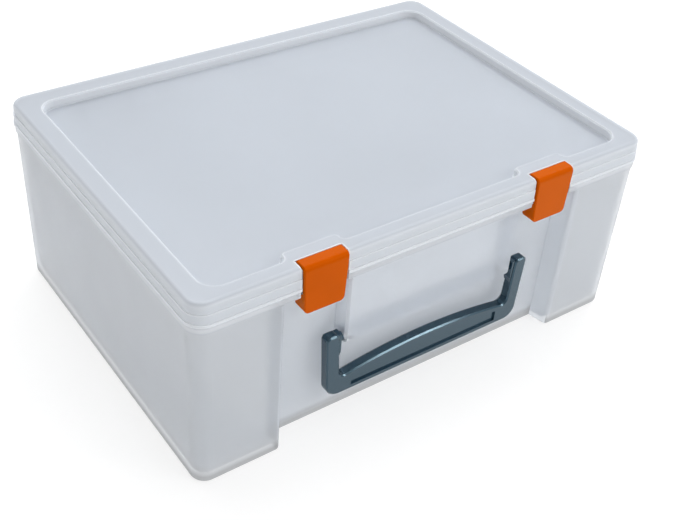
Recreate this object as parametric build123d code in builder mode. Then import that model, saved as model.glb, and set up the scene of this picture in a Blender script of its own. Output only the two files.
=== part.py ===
from build123d import *
import math
import os

os.makedirs("parts", exist_ok=True)

# A clear moulded storage case with a hinged lid, two snap latches and a swinging carry
# handle. X runs along the case, Y from front to back, Z up, in millimetres. The origin
# is under the middle of the bounding box. Every Y is worked out from the lid's front
# and back edges, and every Z from the floor or from the top of the lid.

# ---- Overall ----
case_length = 255.0  # over the bead of the lid's skirt
lid_depth = 187.0  # over the same bead, front to back
lid_top = 103.3
plan_radius = 9.0  # corners of the lid in plan

# ---- Lid ----
skirt_height = 11.4
skirt_wall = 1.8  # from the bead inwards
bead_out = 0.4
bead_height = 1.4
step_in = 0.4  # the upper band of the skirt stands back by this
step_drop = 5.2  # its height below the top
rim_thickness = 2.0
rim_round = 2.0
recess_depth = 4.5  # sunk panel below the rim
panel_thickness = 2.0
basin_wall = 2.0  # wall between rim and panel
side_border = 11.5  # rim width at the ends
front_border = 9.2
back_border = 12.5
panel_radius = 8.0
border_bevel = 0.7  # along the edge of the sunk panel
notch_width = 28.9  # where the panel steps back behind each latch
notch_step = 5.3
notch_radius = 2.5

# ---- Tub ----
shoulder_gap = 0.6  # between the skirt's edge and the tub's shoulder
tub_inset = 1.1  # body face behind the bead
wall_draft = 0.5  # body narrows by this on each side towards the floor
collar_out = 0.6
collar_height = 3.0  # from the roof of the front recess up to the shoulder
neck_gap = 0.5  # between neck and skirt
neck_wall = 1.5
neck_drop = 0.2  # neck below the lid behind a latch
skirt_gap = 0.3
floor_thickness = 2.4
tub_radius = 9.0
foot_round = 2.0
inner_bevel = 2.0  # round the floor inside

# ---- Front recess between the two pillars ----
recess_half_front = 84.0
recess_half_back = 81.5
recess_set = 12.0  # recess wall behind the lid's front edge
recess_wall = 2.0
pillar_round = 2.5  # upright front edges of the pillars

# ---- Block that carries the handle ----
block_half = 49.4
block_set = 3.2  # block face behind the lid's front edge
block_below = 2.4  # underside of the block below the handle's axis
block_wall = 2.0
block_bevel = 1.2
block_corner = 4.0
socket_length = 5.2
socket_wall = 1.1

# ---- Handle ----
pivot_set = 6.8  # handle axis behind the lid's front edge
pivot_height = 50.2
handle_pin_radius = 2.2
handle_pin_play = 0.06
handle_pin_length = 5.2
handle_half_top = 59.8
handle_half_bottom = 57.7
arm_width = 7.1
arm_above = 4.8  # arm head above the axis
arm_front = 4.0  # front face before the axis
arm_back = 2.2
head_corner = 2.2
hub_out = 1.6
hub_height = 13.0
hub_margin = 0.9
handle_drop = 32.3  # underside of the grip below the axis
grip_end_height = 10.1  # height of the grip where it meets the arms
grip_mid_height = 15.1
grip_corner = 7.0
grip_inner_corner = 3.0
handle_bevel = 0.7  # front edges
handle_back_bevel = 1.6
pocket_half = 44.4
pocket_below = 2.6  # pocket's lower edge above the underside of the grip
pocket_above = 3.0  # its upper edge below the arched top
pocket_depth = 1.0

# ---- Latches ----
latch_x = 64.8
latch_half_top = 11.25
latch_half_foot = 10.2
latch_rise = 0.5  # latch above the lid
latch_height = 25.0
latch_proud = 0.5  # latch face before the lid's front edge
latch_plate = 1.7
lip_thickness = 1.6
lip_reach = 6.8
latch_bend = 2.3
latch_corner = 2.6
lip_inner_round = 0.6
latch_bevel = 0.4  # outer edges
latch_gap = 0.5  # to each side of the lid's pocket
latch_behind = 0.2  # between plate and pocket
lip_clearance = 0.35  # between lip and pocket floor
cheek_thickness = 1.8
cheek_reach = 7.5
cheek_back_rise = 2.0  # cheek above the axis at its back
cheek_plate_rise = 7.5  # and where it meets the plate
cheek_round = 0.8
latch_axis_set = 4.5  # latch axis behind the lid's front edge
axis_rise = 3.0  # latch axis above the foot
latch_pin_radius = 1.4
latch_pin_play = 0.06
latch_pin_length = 1.6
pocket_wall = 1.4  # lid wall behind a latch
pocket_floor = 1.55

# ---- Lugs on the tub that carry the latches ----
lug_gap = 0.25
lug_radius = 2.6
ear_thickness = 3.0
lug_web = 2.0
lug_foot = 0.5  # underside of a lug above its axis, at the wall

# ---- Hinge ----
hinge_x = 75.0
hinge_set = 3.7  # axis behind the lid's back edge
hinge_below = 1.9  # axis below the skirt's edge
hinge_bar_radius = 2.0
hinge_play = 0.06
clip_wall = 1.64
clip_length = 24.4
clip_side_gap = 0.3
clip_mouth = 80.0
clip_mouth_middle = 290.0  # degrees about the axis, 0 forward, 90 up
clip_web_height = 7.0
clip_web_angle = 150.0  # where the web runs onto the clip
stop_angle = 230.0  # same measure; the tail meets the tub with the lid at 112 degrees
stop_width = 1.8
stop_reach = 5.0
rib_thickness = 2.4
rib_head = 2.9
rib_drop = 12.0
rib_rise = 0.2  # rib above the axis where it leaves the tub
rib_top_angle = 80.0  # where the rib's edges run onto its head
rib_foot_angle = 210.0

margin = 1.0  # overlap of a joined piece, or overrun of a cut

# ---- Places worked out from the sizes above ----
clip_radius = hinge_bar_radius + hinge_play + clip_wall
front_reach = lid_depth / 2 + latch_proud
back_reach = lid_depth / 2 + hinge_set + clip_radius
centre_y = (front_reach - back_reach) / 2
front_y = centre_y - lid_depth / 2
back_y = centre_y + lid_depth / 2
hinge_y = back_y + hinge_set

skirt_bottom = lid_top - skirt_height
rim_under = lid_top - rim_thickness
panel_top = lid_top - recess_depth
panel_under = panel_top - panel_thickness
shoulder = skirt_bottom - shoulder_gap
neck_inset = skirt_wall + neck_gap
cavity_inset = neck_inset + neck_wall
hinge_z = skirt_bottom - hinge_below

recess_y = front_y + recess_set
recess_roof = shoulder - collar_height
ledge = recess_roof + recess_wall
block_y = front_y + block_set
pivot_y = front_y + pivot_set
block_bottom = pivot_height - block_below

latch_top = lid_top + latch_rise
latch_foot = latch_top - latch_height
latch_axis_height = latch_foot + axis_rise
latch_front = front_y - latch_proud
latch_inner = latch_front + latch_plate
latch_axis_y = front_y + latch_axis_set
lip_back = latch_front + lip_reach + latch_gap
pocket_y = latch_inner + latch_behind
lip_under = latch_top - lip_thickness
pocket_z = lip_under - lip_clearance
pocket_half_width = latch_half_top + latch_gap
seat_y = pocket_y + pocket_wall  # inner face of the lid behind a latch
seat_z = pocket_z - pocket_floor
seat_half = pocket_half_width + pocket_wall
neck_front = seat_y + neck_gap  # neck behind a latch
neck_step_half = seat_half + neck_gap


def plan(inset, radius=plan_radius):
    """Plan outline of the case, inset from the lid's bead, with matching corners."""
    width = case_length - 2 * inset
    depth = lid_depth - 2 * inset
    with Locations((0, centre_y)):
        return RectangleRounded(width, depth, radius - min(inset, radius - 1))


def box(x_range, y_range, z_range, mode=Mode.ADD):
    """Box between three pairs of coordinates."""
    sides = [max(pair) - min(pair) for pair in (x_range, y_range, z_range)]
    middle = [sum(pair) / 2 for pair in (x_range, y_range, z_range)]
    with Locations(tuple(middle)):
        return Box(*sides, mode=mode)


def rod(x_start, x_end, y, z, radius, mode=Mode.ADD):
    """Cylinder along X between two stations."""
    with Locations(((x_start + x_end) / 2, y, z)):
        return Cylinder(radius, abs(x_end - x_start), rotation=(0, 90, 0), mode=mode)


def about_hinge(angle, distance):
    """Point (Y, Z) about the hinge axis; 0 degrees points forward and 90 up."""
    turn = math.radians(angle)
    return (hinge_y - distance * math.cos(turn), hinge_z + distance * math.sin(turn))


def panel_outline():
    """Sunk panel of the lid, which steps back behind each latch."""
    half = case_length / 2 - side_border
    front = front_y + front_border
    back = back_y - back_border
    with Locations((0, (front + back) / 2)):
        Rectangle(2 * half, back - front)
    for side in (-1, 1):
        with Locations((side * latch_x, front)):
            Rectangle(notch_width, 2 * notch_step, mode=Mode.SUBTRACT)
    steps = [v for v in vertices() if abs(v.X) < half - 0.01]
    fillet(steps, notch_radius)
    return fillet([v for v in vertices() if abs(abs(v.X) - half) < 0.01], panel_radius)


# ---------------------------------------------------------------- lid
with BuildPart() as lid:
    with BuildSketch(Plane.XY.offset(skirt_bottom)):
        plan(0)
    extrude(amount=bead_height)
    with BuildSketch(Plane.XY.offset(skirt_bottom)):
        plan(bead_out)
    extrude(amount=skirt_height - step_drop)
    with BuildSketch(Plane.XY.offset(skirt_bottom)):
        plan(bead_out + step_in)
    extrude(amount=skirt_height)
    fillet(lid.faces().sort_by(Axis.Z)[-1].edges(), rim_round)
    with BuildSketch(Plane.XY.offset(skirt_bottom)):
        plan(skirt_wall)
    extrude(amount=skirt_height - rim_thickness, mode=Mode.SUBTRACT)
    # wall of the sunk panel, and the panel itself
    with BuildSketch(Plane.XY.offset(panel_under)):
        panel_outline()
        offset(amount=basin_wall)
    extrude(amount=recess_depth + panel_thickness - rim_round)
    with BuildSketch(Plane.XY.offset(panel_top)):
        panel_outline()
    extrude(amount=recess_depth, mode=Mode.SUBTRACT)
    chamfer(lid.faces().sort_by(Axis.Z)[-1].inner_wires()[0].edges(), border_bevel)

    # pockets that take the latches, with the wall thickened behind them
    for side in (-1, 1):
        seat_x = (side * latch_x - seat_half, side * latch_x + seat_half)
        pocket_x = (side * latch_x - pocket_half_width, side * latch_x + pocket_half_width)
        box(seat_x, (pocket_y, seat_y), (skirt_bottom, rim_under))
        box(seat_x, (pocket_y, front_y + front_border + notch_step), (seat_z, rim_under))
        box(pocket_x, (front_y - margin, pocket_y), (skirt_bottom - margin, lid_top + margin), Mode.SUBTRACT)
        box(pocket_x, (front_y - margin, lip_back), (pocket_z, lid_top + margin), Mode.SUBTRACT)

    # hinge clips: a web down to a clip that snaps over the bar, and a stop tail
    for side in (-1, 1):
        clip_x = side * hinge_x - clip_length / 2
        with BuildSketch(Plane.YZ.offset(clip_x)):
            with BuildLine():
                Polyline(
                    (back_y - skirt_wall, skirt_bottom),
                    (back_y - skirt_wall, skirt_bottom + clip_web_height),
                    (back_y - bead_out, skirt_bottom + clip_web_height),
                    about_hinge(clip_web_angle, clip_radius),
                    (hinge_y, hinge_z),
                    close=True,
                )
            make_face()
            with Locations((hinge_y, hinge_z)):
                Circle(clip_radius)
            with Locations(about_hinge(stop_angle, stop_reach / 2)):
                SlotOverall(stop_reach, stop_width, rotation=180 - stop_angle)
            with BuildLine():
                Polyline(
                    (hinge_y, hinge_z),
                    about_hinge(clip_mouth_middle - clip_mouth / 2, 2 * clip_radius),
                    about_hinge(clip_mouth_middle, 2 * clip_radius),
                    about_hinge(clip_mouth_middle + clip_mouth / 2, 2 * clip_radius),
                    close=True,
                )
            make_face(mode=Mode.SUBTRACT)
            with Locations((hinge_y, hinge_z)):
                Circle(hinge_bar_radius + hinge_play, mode=Mode.SUBTRACT)
        extrude(amount=clip_length)
lid.part.label = "lid"
export_step(lid.part, "parts/lid.step")


# ---------------------------------------------------------------- tub
inner_front = front_y + cavity_inset
recess_back = recess_y + recess_wall
neck_low = seat_z - neck_drop
cheek_inner = latch_half_foot - cheek_thickness
lug_half = cheek_inner - lug_gap
rib_inner = clip_length / 2 + clip_side_gap
tub_back = back_y - tub_inset
socket_radius = handle_pin_radius + handle_pin_play + socket_wall


def recess_outline(wall):
    """Front recess between the pillars, with its side faces spread forward."""
    slope = (recess_half_front - recess_half_back) / recess_set
    half_back = recess_half_back + wall
    reach = recess_set + wall + margin
    with BuildLine() as outline:
        Polyline(
            (-half_back, recess_y + wall),
            (half_back, recess_y + wall),
            (half_back + slope * reach, recess_y + wall - reach),
            (-half_back - slope * reach, recess_y + wall - reach),
            close=True,
        )
    return make_face(outline.edges())


def pillar_edges():
    """Upright front edges of the two pillars, beside the recess."""
    upright = [edge for edge in edges() if abs(edge.center().X) < recess_half_front + margin]
    return ShapeList(upright).filter_by(
        lambda edge: edge.length > recess_roof and edge.center().Y < recess_y - margin
    )


def block_edges():
    """Front edges of the handle block and the upright edges beside them."""
    return [
        edge
        for edge in edges()
        if abs(edge.center().Y - block_y) < 0.01 and edge.center().Z < recess_roof - 0.01
    ]


def lug_outline():
    """Side view of an ear: a nose round the latch's axis and a root in the recess wall."""
    with BuildLine() as outline:
        Polyline(
            (latch_axis_y, latch_axis_height + lug_radius),
            (recess_y + margin, latch_axis_height + lug_radius),
            (recess_y + margin, latch_axis_height + lug_foot),
            (latch_axis_y + lug_radius / 3, latch_axis_height - lug_radius * math.sqrt(8) / 3),
            (latch_axis_y, latch_axis_height),
            close=True,
        )
    make_face(outline.edges())
    with Locations((latch_axis_y, latch_axis_height)):
        Circle(lug_radius)


def rib_outline():
    """Side view of a hinge rib: a head round the bar and a long root down the tub."""
    with BuildLine() as outline:
        Polyline(
            (tub_back - margin, hinge_z + rib_rise),
            about_hinge(rib_top_angle, rib_head),
            about_hinge(rib_foot_angle, rib_head),
            (tub_back - margin, hinge_z - rib_drop),
            close=True,
        )
    make_face(outline.edges())
    with Locations((hinge_y, hinge_z)):
        Circle(rib_head)


# inside of the tub: the drafted cavity, less the recess wall, plus the handle block
with BuildPart() as cavity:
    with BuildSketch(Plane.XY.offset(floor_thickness)):
        plan(cavity_inset + wall_draft, tub_radius)
    with BuildSketch(Plane.XY.offset(lid_top)):
        plan(cavity_inset, tub_radius)
    loft()
    chamfer(cavity.faces().sort_by(Axis.Z)[0].edges(), inner_bevel)
    with BuildSketch(Plane.XY):
        recess_outline(recess_wall)
    extrude(amount=ledge, mode=Mode.SUBTRACT)
    hollow_half = block_half - block_wall
    box((-hollow_half, hollow_half), (block_y + block_wall, recess_back + margin),
        (block_bottom + block_wall, lid_top))

with BuildPart() as tub:
    with BuildSketch(Plane.XY):
        plan(tub_inset + wall_draft, tub_radius)
    with BuildSketch(Plane.XY.offset(shoulder)):
        plan(tub_inset, tub_radius)
    loft()
    with BuildSketch(Plane.XY):
        recess_outline(0)
    extrude(amount=shoulder, mode=Mode.SUBTRACT)
    fillet(pillar_edges(), pillar_round)
    fillet(tub.faces().sort_by(Axis.Z)[0].edges(), foot_round)
    # collar under the lid's skirt, and the neck that the lid drops over
    with BuildSketch(Plane.XY.offset(recess_roof)):
        plan(tub_inset - collar_out, tub_radius)
    extrude(amount=collar_height)
    with BuildSketch(Plane.XY.offset(shoulder)):
        plan(neck_inset, tub_radius)
    extrude(amount=rim_under - shoulder)
    # block that carries the handle
    with BuildSketch(Plane.XZ.offset(-recess_back)):
        with Locations((0, (block_bottom + ledge) / 2)):
            Rectangle(2 * block_half, ledge - block_bottom)
        fillet(vertices().group_by(Axis.Y)[0], block_corner)
    extrude(amount=recess_back - block_y)
    chamfer(block_edges(), block_bevel)
    add(cavity.part, mode=Mode.SUBTRACT)
    # bosses inside the block, bored for the handle's pins
    for side in (-1, 1):
        socket_end = side * (block_half - socket_length)
        rod(side * (block_half - block_wall / 2), socket_end, pivot_y, pivot_height, socket_radius)
        rod(side * (block_half + margin), socket_end - side * margin, pivot_y, pivot_height,
            handle_pin_radius + handle_pin_play, Mode.SUBTRACT)
    for side in (-1, 1):
        # the collar and the neck stand back behind each latch
        middle = side * latch_x
        gap = (middle - pocket_half_width - skirt_gap, middle + pocket_half_width + skirt_gap)
        step = (middle - neck_step_half, middle + neck_step_half)
        inner = (neck_front, neck_front + neck_wall)
        box(step, inner, (ledge - recess_wall, neck_low))
        box(step, (inner_front, neck_front), (ledge, lid_top), Mode.SUBTRACT)
        box(gap, (front_y - margin, neck_front), (recess_roof - margin, shoulder), Mode.SUBTRACT)
        box(step, (front_y - margin, neck_front), (shoulder, lid_top), Mode.SUBTRACT)
        box(step, (front_y, neck_front + neck_wall), (neck_low, lid_top), Mode.SUBTRACT)
    # lugs that carry the latches: two bored ears joined by a web
    for middle in (-latch_x, latch_x):
        for ear in (-1, 1):
            with BuildSketch(Plane.YZ.offset(middle + ear * (lug_half - ear_thickness / 2))):
                lug_outline()
            extrude(amount=ear_thickness / 2, both=True)
        web_z = (latch_axis_height + lug_radius - lug_web, latch_axis_height + lug_radius)
        box((middle - lug_half, middle + lug_half), (latch_axis_y + margin, recess_y + margin), web_z)
        rod(middle - lug_half - margin, middle + lug_half + margin, latch_axis_y, latch_axis_height,
            latch_pin_radius + latch_pin_play, Mode.SUBTRACT)
    # hinge brackets: two ribs with a bar between them, clear of the collar
    for middle in (-hinge_x, hinge_x):
        box((middle - rib_inner, middle + rib_inner), (tub_back, back_y),
            (recess_roof - margin, shoulder + margin), Mode.SUBTRACT)
        for hand in (-1, 1):
            with BuildSketch(Plane.YZ.offset(middle + hand * (rib_inner + rib_thickness / 2))):
                rib_outline()
            extrude(amount=rib_thickness / 2, both=True)
        rod(middle - rib_inner - margin, middle + rib_inner + margin, hinge_y, hinge_z, hinge_bar_radius)
tub.part.label = "tub"
export_step(tub.part, "parts/tub.step")


# ---------------------------------------------------------------- latches
lip_edge = latch_front + lip_reach
cheek_back = latch_front + cheek_reach
cheek_back_top = latch_axis_height + cheek_back_rise
cheek_plate_top = latch_axis_height + cheek_plate_rise


def latch_side_view():
    """Front plate with its hooked lip, in side view."""
    with BuildLine() as outline:
        Polyline(
            (latch_front, latch_foot),
            (latch_front, latch_top),
            (lip_edge, latch_top),
            (lip_edge, lip_under),
            (latch_inner, lip_under),
            (latch_inner, latch_foot),
            close=True,
        )
    make_face(outline.edges())
    corners = vertices().sort_by(Axis.Y)
    fillet([v for v in corners if v.Y > lip_under and v.X < latch_front + 0.01], latch_bend)
    fillet([v for v in vertices() if abs(v.X - latch_inner) < 0.01 and abs(v.Y - lip_under) < 0.01],
           lip_inner_round)


for name, middle in (("latch_left", -latch_x), ("latch_right", latch_x)):
    with BuildPart() as latch:
        with BuildSketch(Plane.YZ.offset(middle)):
            latch_side_view()
        extrude(amount=latch_half_top, both=True)
        # cheeks at both sides of the foot
        with BuildSketch(Plane.YZ.offset(middle)):
            with BuildLine():
                Polyline(
                    (latch_front + latch_plate / 2, latch_foot),
                    (latch_front + latch_plate / 2, cheek_plate_top),
                    (latch_inner, cheek_plate_top),
                    (cheek_back, cheek_back_top),
                    (cheek_back, latch_foot),
                    close=True,
                )
            make_face()
            fillet([v for v in vertices() if v.X > latch_inner + 0.01], cheek_round)
        extrude(amount=latch_half_top, both=True)
        box((middle - cheek_inner, middle + cheek_inner), (latch_inner, cheek_back + margin),
            (latch_foot - margin, cheek_plate_top + margin), Mode.SUBTRACT)
        # front view: narrower towards the foot, with round corners
        with BuildSketch(Plane.XZ.offset(-cheek_back - margin)):
            with BuildLine():
                Polyline(
                    (middle - latch_half_foot, latch_foot),
                    (middle + latch_half_foot, latch_foot),
                    (middle + latch_half_top, latch_top),
                    (middle - latch_half_top, latch_top),
                    close=True,
                )
            make_face()
            fillet(vertices().group_by(Axis.Y)[0], latch_corner)
        extrude(amount=cheek_reach + 2 * margin, mode=Mode.INTERSECT)
        across = latch.edges().filter_by(Axis.X).sort_by(lambda e: e.center().Y + e.center().Z)
        chamfer((across[0], across[-1]), latch_bevel)
        for hand in (-1, 1):
            rod(middle + hand * (cheek_inner + margin), middle + hand * (cheek_inner - latch_pin_length),
                latch_axis_y, latch_axis_height, latch_pin_radius)
    latch.part.label = name
    export_step(latch.part, f"parts/{name}.step")


# ---------------------------------------------------------------- handle
grip_bottom = pivot_height - handle_drop
grip_end_top = grip_bottom + grip_end_height
grip_mid_top = grip_bottom + grip_mid_height
head_top = pivot_height + arm_above
handle_front = pivot_y - arm_front
handle_back = pivot_y + arm_back
arm_slope = (handle_half_top - handle_half_bottom) / (head_top - grip_bottom)


def inner_half(height):
    """Half of the space between the arms at a height."""
    return handle_half_bottom + arm_slope * (height - grip_bottom) - arm_width


def grip_arch(drop=0):
    """Arched upper edge of the grip, or a line that far below it."""
    end = inner_half(grip_end_top)
    return ThreePointArc(
        (-end, grip_end_top - drop), (0, grip_mid_top - drop), (end, grip_end_top - drop)
    )


hub_top = head_top - hub_margin
hub_low = hub_top - hub_height
hub_x = inner_half(hub_top) - hub_out
pocket_low = grip_bottom + pocket_below

with BuildPart() as handle:
    with BuildSketch(Plane.XZ.offset(-handle_back)):
        with BuildLine():
            Polyline(
                (-handle_half_bottom, grip_bottom),
                (handle_half_bottom, grip_bottom),
                (handle_half_top, head_top),
                (-handle_half_top, head_top),
                close=True,
            )
        make_face()
        fillet(vertices().group_by(Axis.Y)[0], grip_corner)
        with BuildLine() as window:
            arch = grip_arch()
            top = inner_half(head_top + margin)
            Polyline(arch @ 0, (-top, head_top + margin), (top, head_top + margin), arch @ 1)
        make_face(window.edges(), mode=Mode.SUBTRACT)
        inner_corners = vertices().filter_by_position(
            Axis.Y, grip_end_top - 0.01, grip_end_top + 0.01
        )
        fillet(inner_corners, grip_inner_corner)
        fillet(vertices().group_by(Axis.Y)[-1], head_corner)
    extrude(amount=arm_front + arm_back)
    chamfer(handle.faces().sort_by(Axis.Y)[0].edges(), handle_bevel)
    chamfer(handle.faces().sort_by(Axis.Y)[-1].edges(), handle_back_bevel)
    # hubs on the inner sides of the arms, and the pins
    with BuildSketch(Plane.XZ.offset(-handle_back + hub_margin)):
        for side in (-1, 1):
            with BuildLine():
                Polyline(
                    (side * (inner_half(hub_low) + margin), hub_low),
                    (side * (inner_half(hub_top) + margin), hub_top),
                    (side * hub_x, hub_top),
                    (side * hub_x, hub_low + 2 * hub_out),
                    (side * inner_half(hub_low), hub_low),
                    close=True,
                )
            make_face()
    extrude(amount=arm_front + arm_back - 2 * hub_margin)
    for side in (-1, 1):
        rod(side * (hub_x + margin), side * (hub_x - handle_pin_length), pivot_y, pivot_height,
            handle_pin_radius)
    # shallow pocket in the face of the grip, square at its ends
    with BuildSketch(Plane.XZ.offset(-handle_front)):
        with BuildLine():
            upper = grip_arch(pocket_above)
            Polyline(upper @ 0, ((upper @ 0).X, pocket_low), ((upper @ 1).X, pocket_low), upper @ 1)
        make_face()
        with Locations((0, pocket_low)):
            Rectangle(2 * pocket_half, 2 * grip_mid_height, mode=Mode.INTERSECT)
    extrude(amount=-pocket_depth, mode=Mode.SUBTRACT)
handle.part.label = "handle"
export_step(handle.part, "parts/handle.step")
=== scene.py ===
import math

import bpy
from mathutils import Matrix, Vector

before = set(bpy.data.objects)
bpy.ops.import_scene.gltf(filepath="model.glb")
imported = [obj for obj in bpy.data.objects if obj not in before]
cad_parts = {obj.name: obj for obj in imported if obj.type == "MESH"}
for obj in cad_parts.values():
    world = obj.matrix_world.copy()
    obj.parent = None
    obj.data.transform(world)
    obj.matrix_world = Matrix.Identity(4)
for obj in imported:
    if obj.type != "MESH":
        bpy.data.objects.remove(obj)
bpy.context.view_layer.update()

# Lengths are in metres, angles in degrees, light powers in watts and colours linear.

# ---- Camera: the photograph's viewpoint ----
camera_place = Vector((-0.27353, -0.37525, 0.37256))
camera_azimuth = -37.67
camera_elevation = 37.67
camera_roll = 4.40
camera_lens = 57.22  # millimetres
sensor_width = 36.0  # millimetres
camera_near = 0.01

# ---- Studio ----
front_left_sky = (0.58, 0.565, 0.55)
back_right_sky = (0.84, 0.86, 0.88)
back_right = (0.8, 0.6, 0.0)  # direction in which the sky brightens
sky_fade = (-0.8, 0.7)  # where along that direction it starts and is full
light_target = (0, 0, 0.05)
top_light = {"place": (0.30, 0.42, 1.20), "size": (1.4, 1.1), "power": 10.8}
front_light = {"place": (0.55, -0.91, 0.70), "size": (0.50, 0.11), "power": 3.0}
floor_white = (0.36, 0.36, 0.36)
floor_glow = 0.68
floor_roughness = 0.8
floor_half = 30.0  # so that its edge stays out of every view

# ---- Tub: colours ----
tub_tint = (0.75, 0.77, 0.795)
tub_cloud = (0.54, 0.56, 0.60)
# Painted highlight along the tub's edges.
tub_edge_highlight = (0.60, 0.625, 0.665)
# Painted shade on the outside of the tub's foot.
tub_foot_shade = (0.45, 0.46, 0.475)
# Painted light on the recess walls and on the collar under the lid's skirt, where they lie in
# shade.
recess_painted_light = (0.84, 0.87, 0.91)
collar_painted_light = (0.88, 0.91, 0.95)

# ---- Tub: how far the recess and the collar take their painted light ----
recess_share = 0.9
collar_share = 0.4
foot_milk = 0.8  # milkiness of the foot

# ---- Tub: heights at its foot, and its recess for the handle ----
foot_top = 0.0035  # where the foot's rounding ends
foot_shade = 0.008  # where the painted shade on the foot ends
foot_haze = 0.012  # where the foot's milkiness ends
recess_half = 0.086
recess_face = -0.0840
recess_top = 0.0875  # where the collar starts

# ---- Lid: colours ----
lid_tint = (0.65, 0.685, 0.735)
lid_cloud = (0.555, 0.59, 0.645)
# Painted highlight along the lid's edges.
lid_edge_highlight = (0.92, 0.95, 0.99)
# Painted light on the basin walls, and a painted highlight on the bead along the skirt's foot.
lid_painted_light = (0.90, 0.93, 0.97)
# Painted light on the skirt's upright outer faces, lighter than the milky rim.
skirt_painted_light = (0.75, 0.79, 0.84)

# ---- Lid: milkiness of its rim and of the sunk panel's border, and the painted highlight on its bead ----
rim_milk = 0.7
border_milk = 0.3
bead_share = 0.5

# ---- Lid: its sunk panel, and the bead along the foot of its skirt ----
panel_half = 0.116
panel_front = -0.08775
panel_back = 0.07755
panel_top = 0.0988
panel_margin = 0.002  # how far outside the panel's outline its wall ends
panel_border = 0.014  # width of the milky border on the panel
bead_top = 0.0933
bead_fade = 0.0003

# ---- Frosted plastic: what both mouldings share ----
milky_clearness = 0.15  # what still passes where the plastic is thick
plastic_index = 1.12
coat_roughness = 0.22
thick_edge = {"radius": 0.0016, "full": 0.80}
# Band along the edges where the highlights are painted.
highlight_line = {"radius": 0.0018, "full": 0.88}
edge_samples = 6

# ---- Latches and handle ----
orange = (0.54, 0.072, 0.0)
orange_gleam = (1.0, 0.55, 0.05)
orange_sheen = (1.0, 0.62, 0.0)
slate = (0.010, 0.030, 0.050)
slate_gleam = (0.58, 0.82, 0.95)

# ---- Masks ----
fade = 0.001  # width over which a mask fades out
noise_range = (0.3, 0.7)  # where nearly all values of a noise texture lie
leaves_level = (0.0003, 0.008)  # how upright a face is, from level to turning
leaves_upright = (0.01, 0.12)  # how level a face is, from upright to turning
basin_upright = (0.6, 0.2)  # how level a face may be to count as the basin's wall
skirt_upright = (0.6, 0.1)  # the same for the skirt
looks_away = (0.0, 0.01)  # how far a face looks away from the middle, in metres


def aim_camera():
    """Creates the camera at the photograph's viewpoint."""
    data = bpy.data.cameras.new("camera")
    data.sensor_width = sensor_width
    data.lens = camera_lens
    data.clip_start = camera_near
    camera = bpy.data.objects.new("camera", data)
    bpy.context.scene.collection.objects.link(camera)
    turn = Matrix.Rotation(math.radians(camera_azimuth), 3, "Z")
    turn @= Matrix.Rotation(math.radians(90 - camera_elevation), 3, "X")
    turn @= Matrix.Rotation(math.radians(camera_roll), 3, "Z")
    camera.matrix_world = Matrix.Translation(camera_place) @ turn.to_4x4()
    bpy.context.scene.camera = camera


# ---- Node steps: each adds nodes to a tree and returns the socket of its result ----


def compute(tree, operation, *values):
    """One math step on sockets or numbers."""
    node = tree.nodes.new("ShaderNodeMath")
    node.operation = operation
    for socket, value in zip(node.inputs, values):
        if isinstance(value, float):
            socket.default_value = value
        else:
            tree.links.new(value, socket)
    return node.outputs["Value"]


def times(tree, first, second):
    """Product of two values: of two masks, where both hold."""
    return compute(tree, "MULTIPLY", first, second)


def most(tree, first, second):
    """Larger of two values: of two masks, where either holds."""
    return compute(tree, "MAXIMUM", first, second)


def rescale(tree, value, source, target):
    """Maps one range onto another, and holds the value at their ends."""
    node = tree.nodes.new("ShaderNodeMapRange")
    node.inputs["From Min"].default_value, node.inputs["From Max"].default_value = source
    node.inputs["To Min"].default_value, node.inputs["To Max"].default_value = target
    tree.links.new(value, node.inputs["Value"])
    return node.outputs["Result"]


def ramp(tree, value, start, full):
    """0 up to the start value, rising to 1 at the full value."""
    return rescale(tree, value, (start, full), (0.0, 1.0))


def dot(tree, first, second):
    """Dot product of two vectors; the second may be a plain direction."""
    node = tree.nodes.new("ShaderNodeVectorMath")
    node.operation = "DOT_PRODUCT"
    tree.links.new(first, node.inputs[0])
    if isinstance(second, tuple):
        node.inputs[1].default_value = second
    else:
        tree.links.new(second, node.inputs[1])
    return node.outputs["Value"]


def noise(tree, scale, detail=2.0):
    """Noise texture in object coordinates."""
    place = tree.nodes.new("ShaderNodeTexCoord")
    texture = tree.nodes.new("ShaderNodeTexNoise")
    texture.inputs["Scale"].default_value = scale
    texture.inputs["Detail"].default_value = detail
    tree.links.new(place.outputs["Object"], texture.inputs["Vector"])
    return texture.outputs["Fac"]


def blend_colours(tree, value, colour, low, high):
    """A colour that drifts with a noise value between two brightnesses."""
    gradient = tree.nodes.new("ShaderNodeValToRGB")
    for stop, position, factor in zip(gradient.color_ramp.elements, noise_range, (low, high)):
        stop.position = position
        stop.color = (*(min(1.0, channel * factor) for channel in colour), 1)
    tree.links.new(value, gradient.inputs["Fac"])
    return gradient.outputs["Color"]


def mix_colours(tree, factor, first, second):
    """Colour mix: the first colour is a socket, the second a plain colour."""
    mix = tree.nodes.new("ShaderNodeMix")
    mix.data_type = "RGBA"
    mix.inputs["B"].default_value = (*second, 1)
    tree.links.new(factor, mix.inputs["Factor"])
    tree.links.new(first, mix.inputs["A"])
    return mix.outputs["Result"]


def bump(tree, height, strength, distance, below=None):
    """Bump from a height value, over another bump if one is given."""
    node = tree.nodes.new("ShaderNodeBump")
    node.inputs["Strength"].default_value = strength
    node.inputs["Distance"].default_value = distance
    tree.links.new(height, node.inputs["Height"])
    if below is not None:
        tree.links.new(below, node.inputs["Normal"])
    return node.outputs["Normal"]


# ---- Masks by place and slope ----


def face_normal(tree):
    """The direction in which the surface looks."""
    return tree.nodes.new("ShaderNodeNewGeometry").outputs["Normal"]


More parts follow.
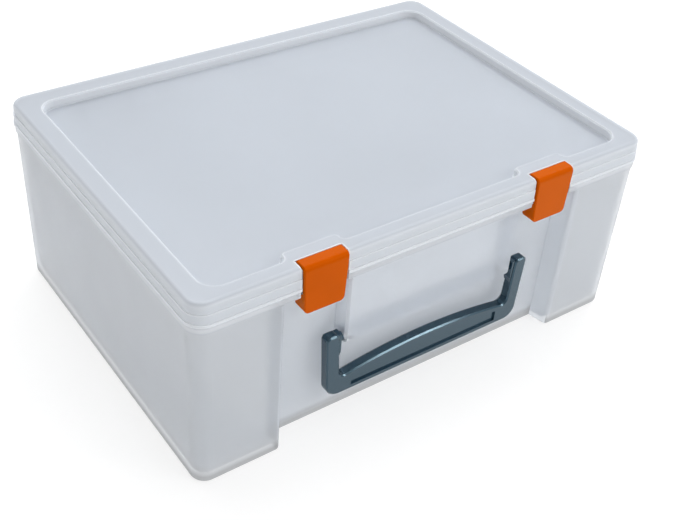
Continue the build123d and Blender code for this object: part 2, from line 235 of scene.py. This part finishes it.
def object_place(tree):
    """X, Y and Z of the moulding's own coordinates."""
    place = tree.nodes.new("ShaderNodeTexCoord")
    split = tree.nodes.new("ShaderNodeSeparateXYZ")
    tree.links.new(place.outputs["Object"], split.inputs["Vector"])
    return [split.outputs[axis] for axis in "XYZ"]


def squared_slope(tree):
    """1 on a level face and 0 on an upright one."""
    rise = dot(tree, face_normal(tree), (0.0, 0.0, 1.0))
    return times(tree, rise, rise)


def slope_mask(tree):
    """1 where the moulding turns from level to upright and 0 on its level and upright faces."""
    level = squared_slope(tree)
    upright = compute(tree, "SUBTRACT", 1.0, level)
    return times(tree, ramp(tree, upright, *leaves_level), ramp(tree, level, *leaves_upright))


def outward_mask(tree):
    """1 on faces that look sideways away from the object's middle, 0 on its inside."""
    place = tree.nodes.new("ShaderNodeTexCoord")
    flatten = tree.nodes.new("ShaderNodeVectorMath")
    flatten.operation = "MULTIPLY"
    flatten.inputs[1].default_value = (1, 1, 0)
    tree.links.new(place.outputs["Object"], flatten.inputs[0])
    away = dot(tree, flatten.outputs["Vector"], face_normal(tree))
    return ramp(tree, away, *looks_away)


def edge_mask(tree, radius, full):
    """1 along the edges of the moulding and 0 on its faces."""
    rounded = tree.nodes.new("ShaderNodeBevel")
    rounded.samples = edge_samples
    rounded.inputs["Radius"].default_value = radius
    return ramp(tree, dot(tree, rounded.outputs["Normal"], face_normal(tree)), 1.0, full)


# ---- Masks of the lid ----


def off_panel(tree, grow, soft):
    """1 outside the sunk panel's outline in plan, 0 inside it."""
    x, y, _ = object_place(tree)
    half, front, back = panel_half + grow, panel_front - grow, panel_back + grow
    side = ramp(tree, compute(tree, "ABSOLUTE", x), half - soft, half)
    ends = most(tree, ramp(tree, y, front + soft, front), ramp(tree, y, back - soft, back))
    return most(tree, side, ends)


def above_panel(tree):
    """1 above the sunk panel's face, 0 on it and below it."""
    return ramp(tree, object_place(tree)[2], panel_top, panel_top + fade)


def rim_mask(tree):
    """1 on the lid's rim and skirt and 0 on its sunk panel."""
    return most(tree, off_panel(tree, 0.0, fade), above_panel(tree))


def basin_mask(tree):
    """1 on the upright wall between the lid's rim and its sunk panel."""
    raised = times(tree, ramp(tree, squared_slope(tree), *basin_upright), above_panel(tree))
    within = compute(tree, "SUBTRACT", 1.0, off_panel(tree, panel_margin, fade))
    return times(tree, raised, within)


def skirt_mask(tree):
    """1 on the upright outer faces of the lid's skirt."""
    upright = ramp(tree, squared_slope(tree), *skirt_upright)
    return times(tree, upright, off_panel(tree, panel_margin, fade))


def painted_light_mask(tree):
    """Where light is painted on the lid: 1 on its basin wall, whose shade is painted over, less
    on the bead along the foot of its skirt, which gets a painted highlight.
    """
    low = ramp(tree, object_place(tree)[2], bead_top + bead_fade, bead_top)
    bead = times(tree, times(tree, low, skirt_mask(tree)), bead_share)
    return most(tree, bead, basin_mask(tree))


# ---- Masks of the tub ----


def foot_mask(tree, top):
    """1 on the outside of the tub's rounded foot, fading to 0 up to the given height."""
    low = ramp(tree, object_place(tree)[2], top, foot_top)
    return times(tree, low, outward_mask(tree))


def line_mask(tree):
    """0 in the corner between the tub's floor and the inside of its walls, 1 elsewhere."""
    high = ramp(tree, object_place(tree)[2], foot_shade, foot_haze)
    return most(tree, high, outward_mask(tree))


def collar_mask(tree):
    """1 on the outside of the tub's collar under the lid's skirt."""
    high = ramp(tree, object_place(tree)[2], recess_top, recess_top + fade)
    return times(tree, high, outward_mask(tree))


def recess_mask(tree):
    """1 on the walls of the recess for the handle."""
    x, y, z = object_place(tree)
    across = ramp(tree, compute(tree, "ABSOLUTE", x), recess_half, recess_half - fade)
    front = ramp(tree, y, recess_face + fade, recess_face)
    below = ramp(tree, z, recess_top, recess_top - fade)
    return times(tree, across, times(tree, front, below))


# ---- Materials ----


def new_material(name):
    """New node material; returns the material, its tree and its shader."""
    material = bpy.data.materials.new(name)
    material.use_nodes = True
    tree = material.node_tree
    return material, tree, tree.nodes["Principled BSDF"]


def tub_layers(tree, body):
    """The tub's colour and milkiness: painted highlights along its edges, painted light on its
    recess and collar, and painted shade on its foot.
    """
    kept = line_mask(tree)
    milk = times(tree, most(tree, edge_mask(tree, **thick_edge), slope_mask(tree)), kept)
    # Painted highlights along the tub's edges.
    edge_highlights = times(tree, edge_mask(tree, **highlight_line), kept)
    colour = mix_colours(tree, milk, body, tub_cloud)
    colour = mix_colours(tree, edge_highlights, colour, tub_edge_highlight)
    # Painted light on the walls of the recess.
    recess = times(tree, recess_mask(tree), recess_share)
    colour = mix_colours(tree, recess, colour, recess_painted_light)
    # Painted shade on the outside of the foot.
    colour = mix_colours(tree, foot_mask(tree, foot_shade), colour, tub_foot_shade)
    milk = most(tree, milk, times(tree, foot_mask(tree, foot_haze), foot_milk))
    # Painted light on the collar under the lid's skirt.
    collar = times(tree, collar_mask(tree), collar_share)
    colour = mix_colours(tree, collar, colour, collar_painted_light)
    return colour, most(tree, milk, collar)


def lid_layers(tree, body):
    """The lid's colour and milkiness: a milky rim and skirt, painted light on the skirt's
    upright faces and the basin walls, a painted highlight on the bead, and painted highlights
    along the edges.
    """
    rim = times(tree, rim_mask(tree), rim_milk)
    border = times(tree, off_panel(tree, 0.0, panel_border), border_milk)
    milk = most(tree, most(tree, rim, border), slope_mask(tree))
    # Painted highlights along the lid's edges.
    edge_highlights = edge_mask(tree, **highlight_line)
    bright = painted_light_mask(tree)
    colour = mix_colours(tree, milk, body, lid_cloud)
    # Painted light on the skirt's upright outer faces.
    colour = mix_colours(tree, skirt_mask(tree), colour, skirt_painted_light)
    # Painted light on the basin walls and painted highlight on the bead.
    colour = mix_colours(tree, bright, colour, lid_painted_light)
    colour = mix_colours(tree, edge_highlights, colour, lid_edge_highlight)
    return colour, most(tree, most(tree, milk, bright), edge_highlights)


def frosted_plastic(name, tint, layers, clearness, rough, gloss):
    """Frosted translucent polypropylene: cloudy, and milky where its layers say so."""
    material, tree, shader = new_material(name)
    cloud = noise(tree, scale=9.0, detail=3.0)
    body = blend_colours(tree, cloud, tint, low=0.98, high=1.03)
    colour, milk = layers(tree, body)
    passing = rescale(tree, milk, (0.0, 1.0), (clearness, milky_clearness))
    roughness = rescale(tree, noise(tree, scale=40.0), noise_range, rough)
    wave = bump(tree, noise(tree, scale=28.0, detail=1.0), strength=0.25, distance=0.0006)
    grain = bump(tree, noise(tree, scale=2600.0), strength=0.10, distance=0.0001, below=wave)
    tree.links.new(colour, shader.inputs["Base Color"])
    tree.links.new(passing, shader.inputs["Transmission Weight"])
    tree.links.new(roughness, shader.inputs["Roughness"])
    tree.links.new(grain, shader.inputs["Normal"])
    shader.inputs["IOR"].default_value = plastic_index
    shader.inputs["Coat Weight"].default_value = gloss
    shader.inputs["Coat Roughness"].default_value = coat_roughness
    return material


def solid_plastic(name, colour, gleam, rough, gloss, grit):
    """Opaque moulded plastic with slight colour drift, grain and its gloss."""
    material, tree, shader = new_material(name)
    drift = noise(tree, scale=60.0, detail=3.0)
    body = blend_colours(tree, drift, colour, low=0.96, high=1.04)
    roughness = rescale(tree, noise(tree, scale=140.0, detail=3.0), noise_range, rough)
    wave = bump(tree, noise(tree, scale=120.0, detail=1.0), strength=0.10, distance=0.0003)
    grain = bump(tree, noise(tree, scale=3200.0), strength=grit, distance=0.0001, below=wave)
    tree.links.new(body, shader.inputs["Base Color"])
    tree.links.new(roughness, shader.inputs["Roughness"])
    tree.links.new(grain, shader.inputs["Normal"])
    shader.inputs["Specular IOR Level"].default_value = gloss
    shader.inputs["Specular Tint"].default_value = (*gleam, 1)
    return material


def add_sheen(material, weight, roughness, tint):
    """Gives a material's shader a soft coloured sheen."""
    shader = material.node_tree.nodes["Principled BSDF"]
    shader.inputs["Sheen Weight"].default_value = weight
    shader.inputs["Sheen Roughness"].default_value = roughness
    shader.inputs["Sheen Tint"].default_value = (*tint, 1)


def dress(node, material):
    """Gives a CAD node its material."""
    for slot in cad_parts[node].material_slots:
        slot.material = material


# ---- Studio ----


def make_floor():
    """Plain pale floor."""
    material, tree, shader = new_material("floor")
    body = blend_colours(tree, noise(tree, scale=3.0), floor_white, low=1.0, high=1.01)
    tree.links.new(body, shader.inputs["Base Color"])
    shader.inputs["Roughness"].default_value = floor_roughness
    shader.inputs["Emission Color"].default_value = (1, 1, 1, 1)
    shader.inputs["Emission Strength"].default_value = floor_glow
    corners = [(-1, -1, 0), (1, -1, 0), (1, 1, 0), (-1, 1, 0)]
    mesh = bpy.data.meshes.new("floor")
    mesh.from_pydata([floor_half * Vector(corner) for corner in corners], [], [(0, 1, 2, 3)])
    mesh.materials.append(material)
    floor = bpy.data.objects.new("floor", mesh)
    bpy.context.scene.collection.objects.link(floor)


def area_light(name, place, size, power):
    """Soft area light aimed at the object."""
    data = bpy.data.lights.new(name, "AREA")
    data.shape = "RECTANGLE"
    data.size, data.size_y = size
    data.energy = power
    light = bpy.data.objects.new(name, data)
    light.location = place
    aim = Vector(light_target) - Vector(place)
    light.rotation_euler = aim.to_track_quat("-Z", "Y").to_euler()
    bpy.context.scene.collection.objects.link(light)


def light_studio():
    """White surroundings, dimmer to the front left, with soft lights above and in front."""
    world = bpy.data.worlds.new("studio")
    world.use_nodes = True
    tree = world.node_tree
    place = tree.nodes.new("ShaderNodeTexCoord")
    across = dot(tree, place.outputs["Generated"], back_right)
    sky = tree.nodes.new("ShaderNodeMix")
    sky.data_type = "RGBA"
    sky.inputs["A"].default_value = (*front_left_sky, 1)
    sky.inputs["B"].default_value = (*back_right_sky, 1)
    tree.links.new(ramp(tree, across, *sky_fade), sky.inputs["Factor"])
    tree.links.new(sky.outputs["Result"], tree.nodes["Background"].inputs["Color"])
    bpy.context.scene.world = world
    area_light("top_light", **top_light)
    area_light("front_light", **front_light)


aim_camera()
light_studio()
make_floor()
bpy.context.scene.view_settings.view_transform = "Standard"

case_frosted = frosted_plastic(
    "case_frosted", tub_tint, tub_layers, clearness=0.76, rough=(0.44, 0.54), gloss=0.10
)
lid_frosted = frosted_plastic(
    "lid_frosted", lid_tint, lid_layers, clearness=0.55, rough=(0.40, 0.50), gloss=0.30
)
latch_orange = solid_plastic(
    "latch_orange", orange, orange_gleam, rough=(0.16, 0.23), gloss=0.06, grit=0.03
)
add_sheen(latch_orange, weight=0.35, roughness=0.5, tint=orange_sheen)
handle_slate = solid_plastic(
    "handle_slate", slate, slate_gleam, rough=(0.16, 0.24), gloss=1.0, grit=0.05
)
dress("tub", case_frosted)
dress("lid", lid_frosted)
dress("latch_left", latch_orange)
dress("latch_right", latch_orange)
dress("handle", handle_slate)
